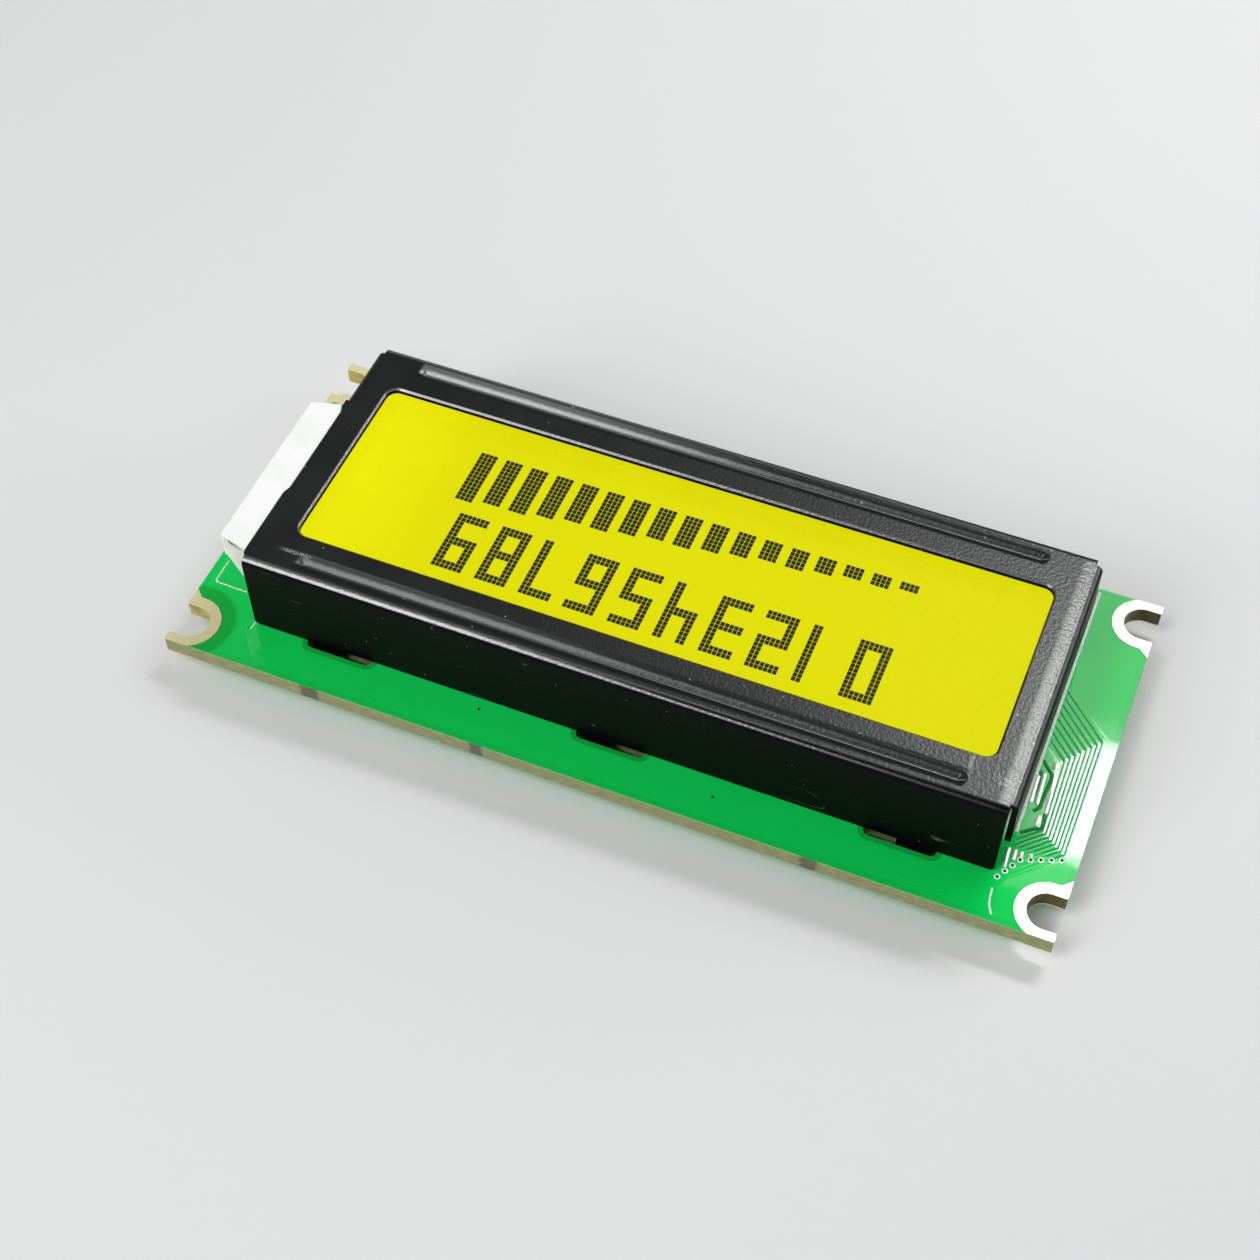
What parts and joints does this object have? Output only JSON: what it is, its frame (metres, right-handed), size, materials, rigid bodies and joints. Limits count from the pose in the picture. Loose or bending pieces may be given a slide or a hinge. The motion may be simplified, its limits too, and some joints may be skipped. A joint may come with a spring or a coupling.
{
  "type": "graphic lcd module",
  "caption": "Small dot-matrix display: yellow-green glass cell under a black folded bezel, clamped with an edge-lit backlight onto a green circuit board with corner notches.",
  "frame": {"origin": "under the middle of the board, on the surface that the twisted lock tabs stand on", "axes": "+X along the displayed lines to the reader's right, +Y to the top of the display, +Z out of its face"},
  "size_m": [0.08, 0.036, 0.012],
  "materials": {
    "solder_mask": "green solder mask over glass-epoxy board, tan cut edges",
    "gold_plating": "thin pale gold plating, satin",
    "black_paint": "satin black paint on folded steel sheet, fine scratches",
    "white_plastic": "white moulded plastic, satin",
    "white_film": "white film, smooth",
    "clear_guide": "clear acrylic, polished",
    "diffuser": "translucent white film",
    "lamp_board": "olive board strip",
    "lamp": "yellow-green lamp resin",
    "tinned": "tinned metal, semi-bright",
    "rubber_strip": "layered conductive silicone rubber",
    "yellow_film": "yellow-green transflective polarizer film",
    "clear_film": "clear polarizer film, smooth",
    "cell_glass": "float glass",
    "seal_resin": "pale cured resin",
    "black_resin": "poured black epoxy, satin",
    "chip_black": "black glazed ceramic",
    "chip_tan": "tan ceramic"
  },
  "bodies": {
    "root": {"printed_board": "solder_mask", "notch_lands": "gold_plating", "header_pads": "gold_plating", "backlight_tray": "white_plastic", "reflector_film": "white_film", "light_guide": "clear_guide", "diffuser_film": "diffuser", "lamp_holder": "white_plastic", "lamp_board": "lamp_board", "lamps": "lamp", "lamp_legs": "tinned", "leg_solder": "tinned", "holder_film": "white_film", "zebra_strip_upper": "rubber_strip", "zebra_strip_lower": "rubber_strip", "rear_polarizer": "yellow_film", "rear_glass": "cell_glass", "cell_seal": "seal_resin", "port_plug": "seal_resin", "front_glass": "cell_glass", "front_polarizer": "clear_film", "bezel": "black_paint", "controller_cap": "black_resin", "driver_cap": "black_resin", "chip_resistors": "chip_black", "chip_capacitors": "chip_tan", "chip_ends": "tinned"}
  },
  "joints": []
}
